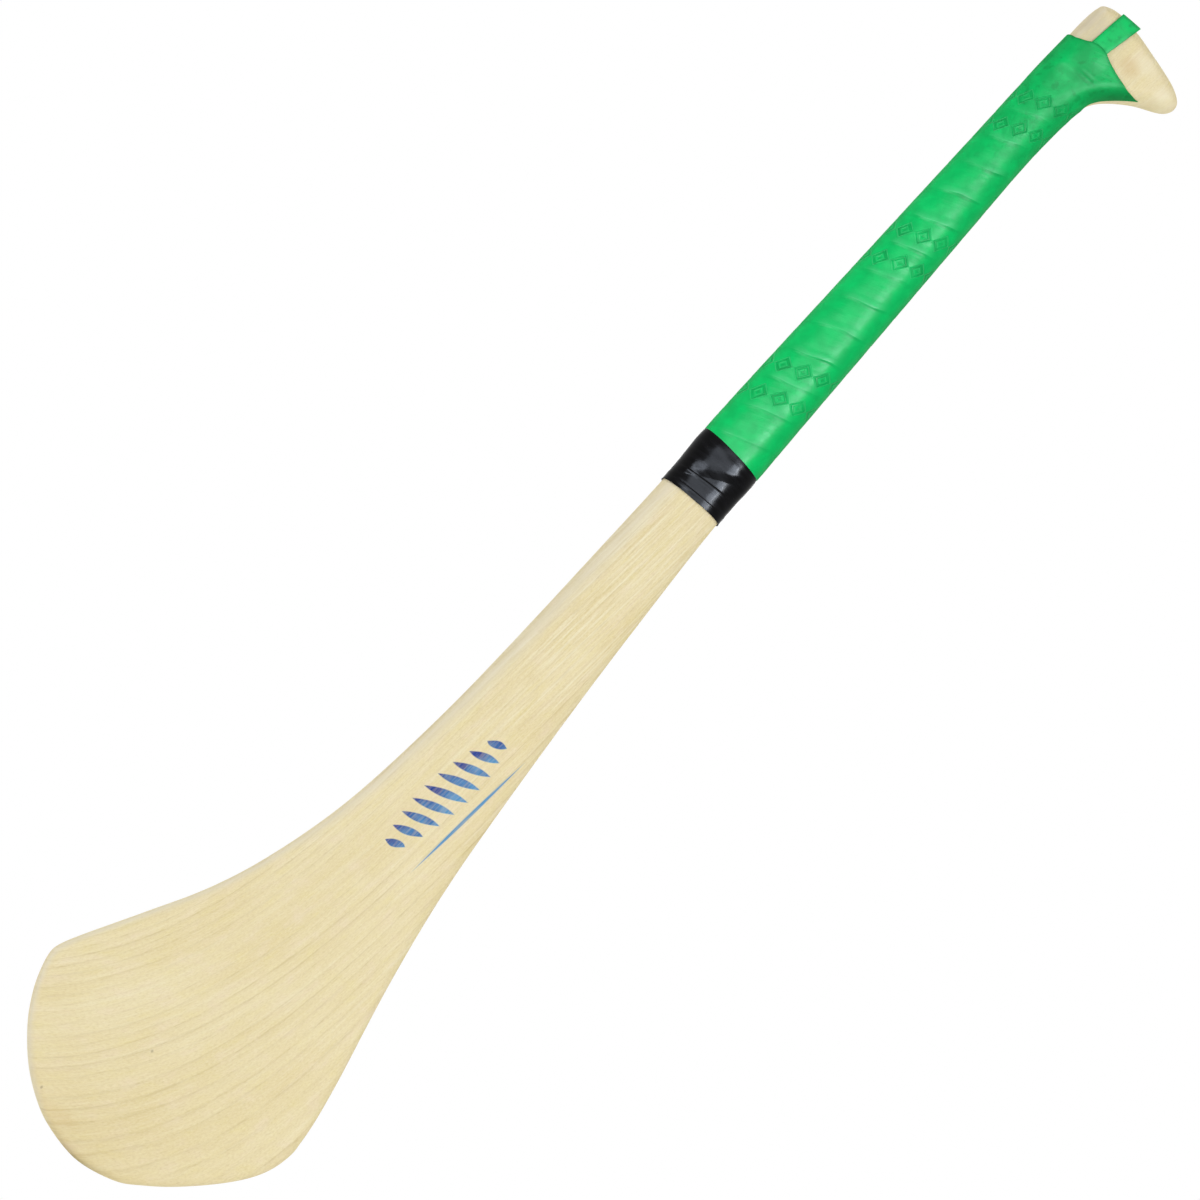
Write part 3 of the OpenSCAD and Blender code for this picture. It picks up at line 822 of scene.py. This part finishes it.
FOAM_SHADE = srgb(8, 112, 52)
FOAM_PATCHES = 70.0
FOAM_SMUDGES = 210.0
KNOB_REGION_HEIGHTS = (0.05, 0.15)
LOZENGES = 10.0
LOZENGE_ROW = 0.46
LOZENGE_HALF = 0.31
PRESSED_EVERY = 5.0
PRESSED_SHARE = 0.3
WRINKLE_LEAN = math.radians(-20)
WRINKLE_SIZE = (0.014, 0.014, 0.0028)
WRINKLE_DEPTH = 0.65
PEBBLE_DEPTH = 0.03
RELIEF_STRENGTH = 0.7
RELIEF_LOSS = -0.9
RELIEF_DEPTH = 0.5
KNOB_DULLING = 0.3
GLANCING_DULLING = 0.5
CREASE_STRENGTH = 0.7
RIDGE_STRENGTH = 0.6
PRESSED_STRENGTH = 0.55
RAISED_STRENGTH = 0.4
EDGE_STRENGTH = 0.6

wrap_foam, tree, shader = new_material("wrap_foam")
skin = add(tree, "Group", {"Light": FOAM_LIGHT, "Dark": FOAM_DARK}, node_tree=FOAM_SKIN).outputs
on_strip = add(tree, "SeparateXYZ", {0: add(tree, "UVMap", uv_map="strip").outputs[0]}).outputs
across_strip = calc(tree, "FRACT", on_strip["Y"])
place = add(tree, "TexCoord").outputs["Object"]
patches = noise(tree, place, FOAM_PATCHES)
strain = ramp(tree, patches, (0.34, 0.3), (0.6, 1.0))


def strained(name):
    """A value laid on the points of the winding, patchy as the foam takes the strain."""
    return times(tree, laid_value(tree, name), strain)


# Painted shade darkens the step under each lap, and a painted highlight lightens the ridge along its edge.
crease = ramp(tree, across_strip, (0.0, 0.3), (0.02, 0.0), (0.88, 0.0), (0.96, 1.0), (1.0, 0.5))
crease = times(tree, crease, strained("lap_shade"))
ridge = ramp(tree, across_strip, (0.0, 1.0), (0.06, 0.8), (0.2, 0.25), (0.5, 0.0))
ridge = calc(tree, "MAXIMUM", times(tree, ridge, strained("lap_highlight")), strained("fold_highlight"))
# A plain chain of lozenges is pressed into the strip, two turns of it and then three turns bare.
in_chain = calc(tree, "FRACT", calc(tree, "DIVIDE", calc(tree, "FLOOR", on_strip["Y"]), PRESSED_EVERY))
in_chain = calc(tree, "LESS_THAN", in_chain, PRESSED_SHARE)
in_chain = times(tree, in_chain, ramp(tree, patches, (0.36, 0.4), (0.56, 1.0)))
along_row = calc(tree, "FRACT", times(tree, on_strip["X"], LOZENGES))
along_row = calc(tree, "ABSOLUTE", calc(tree, "SUBTRACT", along_row, 0.5))
up_row = calc(tree, "ABSOLUTE", calc(tree, "SUBTRACT", across_strip, LOZENGE_ROW))
lozenge = calc(tree, "MULTIPLY_ADD", along_row, 2.0, calc(tree, "DIVIDE", up_row, LOZENGE_HALF))
# The pressed lozenges are painted with shade in their grooves and with highlight along their raised rims.
pressed = ramp(
    tree, lozenge,
    (0.0, 0.8), (0.12, 0.8), (0.24, 0.0), (0.5, 0.0), (0.6, 1.0), (0.72, 1.0), (0.82, 0.0),
)
pressed = times(tree, pressed, in_chain)
raised = ramp(tree, lozenge, (0.3, 0.0), (0.4, 0.6), (0.48, 0.0), (0.82, 0.0), (0.9, 1.0), (1.0, 0.0))
raised = times(tree, raised, in_chain)
# Towards the knob the foam is darker in patches and smudges, and painted shade darkens it under the hook.
up_handle = between(tree, add(tree, "SeparateXYZ", {0: place}).outputs["Z"], *KNOB_REGION_HEIGHTS)
knob_patches = times(tree, up_handle, ramp(tree, patches, (0.34, 0.55), (0.64, 0.15)))
smudges = noise(tree, place, FOAM_SMUDGES, detail=3.0)
smudges = times(tree, ramp(tree, smudges, (0.54, 0.0), (0.68, 0.6)), up_handle)
facing = facing_parts(tree)
below = times(tree, facing["Z"], -1.0)
below = times(tree, ramp(tree, below, (0.15, 0.0), (0.7, 0.8)), up_handle)
# Painted shade darkens its two sides, and the heel side more than the toe side.
side_shade = ramp(tree, calc(tree, "ABSOLUTE", facing["X"]), (0.8, 0.0), (0.9, 0.2), (1.0, 0.5))
colour = layered(
    tree, skin["Colour"],
    (times(tree, crease, CREASE_STRENGTH), FOAM_DEEP),
    (times(tree, ridge, RIDGE_STRENGTH), FOAM_HIGHLIGHT),
    (times(tree, pressed, PRESSED_STRENGTH), FOAM_DEEP),
    (times(tree, raised, RAISED_STRENGTH), FOAM_HIGHLIGHT),
    (knob_patches, FOAM_DEEP),
    (smudges, FOAM_DEEP),
    (side_shade, FOAM_DEEP),
    (ramp(tree, facing["X"], (0.3, 0.0), (0.85, 0.4)), FOAM_DEEP),
    (below, FOAM_SHADE),
    (times(tree, laid_value(tree, "edge_and_fold_shade"), EDGE_STRENGTH), FOAM_DEEP),
)
tree.links.new(colour, shader.inputs["Base Color"])
# Towards the knob the foam is duller, and all of it shines less and looks smoother at a glancing angle.
glancing = ramp(tree, add(tree, "LayerWeight").outputs["Facing"], (0.4, 0.0), (0.9, 0.75))
dulled = calc(tree, "MULTIPLY_ADD", knob_patches, KNOB_DULLING, skin["Roughness"])
dulled = calc(tree, "MULTIPLY_ADD", glancing, GLANCING_DULLING, dulled)
tree.links.new(dulled, shader.inputs["Roughness"])
# The strip lies in shallow wrinkles across the handle, in patches.
wrinkle_set = {"Rotation": (0.0, WRINKLE_LEAN, 0.0), "Scale": WRINKLE_SIZE}
wrinkles = add(tree, "Mapping", {"Vector": place, **wrinkle_set}, vector_type="TEXTURE").outputs[0]
wrinkles = noise(tree, wrinkles, 1.0)
wrinkles = times(tree, wrinkles, ramp(tree, patches, (0.42, 0.2), (0.62, 1.0)))
relief = calc(tree, "MULTIPLY_ADD", wrinkles, WRINKLE_DEPTH, calc(tree, "SUBTRACT", raised, pressed))
relief = calc(tree, "MULTIPLY_ADD", skin["Height"], PEBBLE_DEPTH, relief)
relief_strength = calc(tree, "MULTIPLY_ADD", glancing, RELIEF_LOSS, RELIEF_STRENGTH)
emboss(tree, shader, relief, relief_strength, RELIEF_DEPTH)
shader.inputs["Specular IOR Level"].default_value = FOAM_SPECULAR

wrap.data.materials.append(wrap_foam)
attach(wrap, "root")
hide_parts("grip_wrap")


# Finishing tape
# Three turns of glossy black vinyl tape, pulled tight over the pared end of the winding and down
# onto the wood. The edges of two turns show as fine steps, and the tape's top edge is drawn in.
TAPE_BOTTOM = -183.5
TAPE_LAYER = 0.25
TAPE_LIFT = 0.2
TAPE_STEPS = ((-170.3, 0.06), (-179.4, 0.02))
TAPE_EDGE = 0.4
TAPE_SIDE_EASE = 4.0
TAPE_LIP = 1.1
TAPE_LIP_RISE = 0.11
TAPE_PINCH = 0.38
TAPE_PINCH_REACH = 8.0
TAPE_SEAM = (-161.3, 0.6)
TAPE_SEAM_WIDTH = 2.2
TAPE_SEAM_RISE = 0.1
TAPE_PUCKER = 0.03
# The puckers are waves: their rise, how fast they run up and across the handle, and where they begin.
TAPE_PUCKERS = ((1.0, 0.6, -0.35, 0.0), (0.5, 1.1, 0.25, 1.0))
TAPE_FACES = (1.0, 0.7)
TAPE_ROWS = 240
TAPE_AROUND = 160
TAPE_INNER_STEP = 12
STRIP_PARED = 0.25
STRIP_PARED_END = (-181.0, -178.0)

tape_angle = np.arange(TAPE_AROUND) / TAPE_AROUND * 360
angles = np.repeat(tape_angle[None], TAPE_ROWS, axis=0)
top = tape_top(tape_angle)[None]
heights = TAPE_BOTTOM + (top - TAPE_BOTTOM) * np.linspace(0, 1, TAPE_ROWS)[:, None]
x = wood_at(angles, heights)[..., 0]
on_face = face_share(angles, *TAPE_FACES)
pared = STRIP_PARED * ease(*STRIP_PARED_END, heights)
under = TAPE_LIFT + np.maximum(WRAP_DEPTH * strip_left(angles, x, heights), pared)
# The steps are crisp on the two faces and pulled flat round the sides.
edge = TAPE_EDGE + TAPE_SIDE_EASE * (1 - on_face)
past_edges = [heights - z - lean * x for z, lean in TAPE_STEPS]
layers = 1 + sum(ease(edge, -edge, past) for past in past_edges)
lips = sum(np.exp(-((past / TAPE_LIP + 1) ** 2)) for past in past_edges)
# The last seam of the winding shows through as a soft ridge, and the vinyl is puckered.
seam = np.exp(-((heights - TAPE_SEAM[0] - TAPE_SEAM[1] * x) / TAPE_SEAM_WIDTH) ** 2)
pucker = sum(rise * np.sin(up * heights + across * x + start) for rise, up, across, start in TAPE_PUCKERS)
uneven = TAPE_SEAM_RISE * seam + TAPE_LIP_RISE * lips + TAPE_PUCKER * pucker
under = under - TAPE_PINCH * np.clip(1 - (top - heights) / TAPE_PINCH_REACH, 0, 1) ** 2
outer = stood_off(angles, heights, under + TAPE_LAYER * layers + uneven * on_face)
inner = [values[::-TAPE_INNER_STEP] for values in (angles, heights, under)]
tape = closed_rings_mesh("tape", np.concatenate([outer, stood_off(*inner), outer[:1]]))
weld(tape)

TAPE_BLACK = srgb(3, 3, 4)
TAPE_WORN = srgb(11, 11, 14)
TAPE_SPECULAR = 0.075
TAPE_SCUFFS = (90.0, 90.0, 380.0)
TAPE_RELIEF = (0.1, 0.3)

tape_vinyl, tree, shader = new_material("tape_vinyl")
scuffs = stretched_noise(tree, add(tree, "TexCoord").outputs["Object"], TAPE_SCUFFS)
worn = blend(tree, ramp(tree, scuffs, (0.4, 0.0), (0.75, 1.0)), TAPE_BLACK, TAPE_WORN)
tree.links.new(worn, shader.inputs["Base Color"])
tree.links.new(ramp(tree, scuffs, (0.3, 0.17), (0.7, 0.27)), shader.inputs["Roughness"])
emboss(tree, shader, scuffs, *TAPE_RELIEF)
shader.inputs["Specular IOR Level"].default_value = TAPE_SPECULAR

tape.data.materials.append(tape_vinyl)
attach(tape, "root")
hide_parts("finishing_tape")


# Camera
# It looks at the front face from a little below, through a long lens, and is rolled so that the
# shaft runs up to the right.
CAMERA_TARGET = Vector((-0.0072, 0.0, -0.2598))
CAMERA_DISTANCE = 3.7
CAMERA_TILT = math.radians(9.0)
CAMERA_ROLL = math.radians(40.15)
CAMERA_LENS = 196.1
CAMERA_SENSOR = 36.0
CAMERA_REACH = 50.0

look = Vector((0, math.cos(CAMERA_TILT), math.sin(CAMERA_TILT)))
level_right = Vector((1, 0, 0))
level_up = level_right.cross(look)
right = level_right * math.cos(CAMERA_ROLL) + level_up * math.sin(CAMERA_ROLL)
above = level_up * math.cos(CAMERA_ROLL) - level_right * math.sin(CAMERA_ROLL)
camera = bpy.data.objects.new("camera", bpy.data.cameras.new("camera"))
camera.data.lens = CAMERA_LENS
camera.data.sensor_width = CAMERA_SENSOR
camera.data.clip_end = CAMERA_REACH
rolled = Matrix((right, above, -look)).transposed().to_4x4()
camera.matrix_world = Matrix.Translation(CAMERA_TARGET - look * CAMERA_DISTANCE) @ rolled
bpy.context.scene.collection.objects.link(camera)
bpy.context.scene.camera = camera


# Floor
# A flat pale board under the end of the bas. It fades out into the white room towards its edges,
# and it can't be seen from below.
FLOOR_SIZE = 8.0
FLOOR_GAP = 0.001
FLOOR_WHITE = (0.9, 0.9, 0.9, 1)
FLOOR_ROUGHNESS = 0.9

floor_z = cad_box[0].z - FLOOR_GAP
half = FLOOR_SIZE / 2
corners = [(half * x, half * y, floor_z) for x, y in ((-1, -1), (1, -1), (1, 1), (-1, 1))]
mesh = bpy.data.meshes.new("floor")
mesh.from_pydata(corners, [], [(0, 1, 2, 3)])
floor = bpy.data.objects.new("floor", mesh)
bpy.context.scene.collection.objects.link(floor)
floor_paint, tree, shader = new_material("floor_paint")
shader.inputs["Base Color"].default_value = FLOOR_WHITE
shader.inputs["Roughness"].default_value = FLOOR_ROUGHNESS
place = add(tree, "TexCoord").outputs["Object"]
far = add(tree, "VectorMath", {0: place}, operation="LENGTH").outputs["Value"]
faded = ramp(tree, times(tree, far, 1 / half), (0.25, 0.0), (0.95, 1.0))
seen_through = calc(tree, "MAXIMUM", add(tree, "NewGeometry").outputs["Backfacing"], faded)
clear = add(tree, "BsdfTransparent").outputs[0]
mixed = add(tree, "MixShader", {0: seen_through, 1: shader.outputs[0], 2: clear})
tree.links.new(mixed.outputs[0], tree.nodes["Material Output"].inputs["Surface"])
mesh.materials.append(floor_paint)


# Room and lamps
# A white room, which lights the stick a little more from above and from the toe side, and soft
# boxes round it. The key, the fill and the one behind light it; the others only shine in its
# surface, slightly cool, as broad and narrow sheens on the grip and the tape.
ROOM_WHITE = (1.0, 1.0, 1.0, 1.0)
ROOM_LIGHT = 0.635
ROOM_SLOPE = (-0.07, 0.0, 0.06)
LAMP_WHITE = (1.0, 1.0, 1.0)
LAMP_COOL = (0.88, 0.97, 1.12)
LAMP_TARGET = Vector((0, 0, -0.15))

world = bpy.data.worlds.new("room")
world.use_nodes = True
tree = world.node_tree
background = tree.nodes["Background"]
background.inputs["Color"].default_value = ROOM_WHITE
path = add(tree, "LightPath").outputs
seen = calc(tree, "MAXIMUM", path["Is Camera Ray"], path["Is Glossy Ray"])
seen = calc(tree, "MAXIMUM", seen, path["Is Transmission Ray"])
toward = add(tree, "TexCoord").outputs["Generated"]
slope = add(tree, "VectorMath", {0: toward, 1: ROOM_SLOPE}, operation="DOT_PRODUCT").outputs["Value"]
room = calc(tree, "MULTIPLY_ADD", slope, ROOM_LIGHT, ROOM_LIGHT)
tree.links.new(between(tree, seen, 0.0, 1.0, room, 1.0), background.inputs["Strength"])
bpy.context.scene.world = world


def soft_box(name, azimuth, elevation, distance, width, height, power, colour, lights=True, shines=True):
    """A soft box that looks at the middle of the stick from an angle round it, 0 being the front."""
    a, e = math.radians(azimuth), math.radians(elevation)
    toward = Vector((math.sin(a) * math.cos(e), -math.cos(a) * math.cos(e), math.sin(e)))
    lamp = bpy.data.lights.new(name, "AREA")
    lamp.shape = "RECTANGLE"
    lamp.size = width
    lamp.size_y = height
    lamp.energy = power
    lamp.color = colour
    box = bpy.data.objects.new(name, lamp)
    box.location = LAMP_TARGET + toward * distance
    box.rotation_mode = "QUATERNION"
    box.rotation_quaternion = (-toward).to_track_quat("-Z", "Y")
    box.visible_camera = False
    box.visible_diffuse = lights
    box.visible_glossy = shines
    bpy.context.scene.collection.objects.link(box)


# Each is given by its angles round the stick and above level, its distance, its size and its power.
soft_box("key", 28, 8, 3.0, 0.36, 0.8, 22, LAMP_WHITE)
soft_box("sheen", 18, 8, 3.0, 0.9, 1.0, 105, LAMP_COOL, lights=False)
soft_box("glint", 27, 8, 3.0, 0.2, 0.9, 42, LAMP_COOL, lights=False)
soft_box("wide_sheen", -9, 8, 3.0, 1.7, 1.0, 48, LAMP_COOL, lights=False)
soft_box("low_sheen", -24, -5, 3.0, 1.9, 0.4, 75, LAMP_COOL, lights=False)
soft_box("fill", -80, 5, 3.0, 2.0, 2.0, 13, LAMP_WHITE, shines=False)
soft_box("back", 180, 25, 3.2, 2.4, 2.2, 42, LAMP_WHITE)

bpy.context.scene.view_settings.view_transform = "Standard"
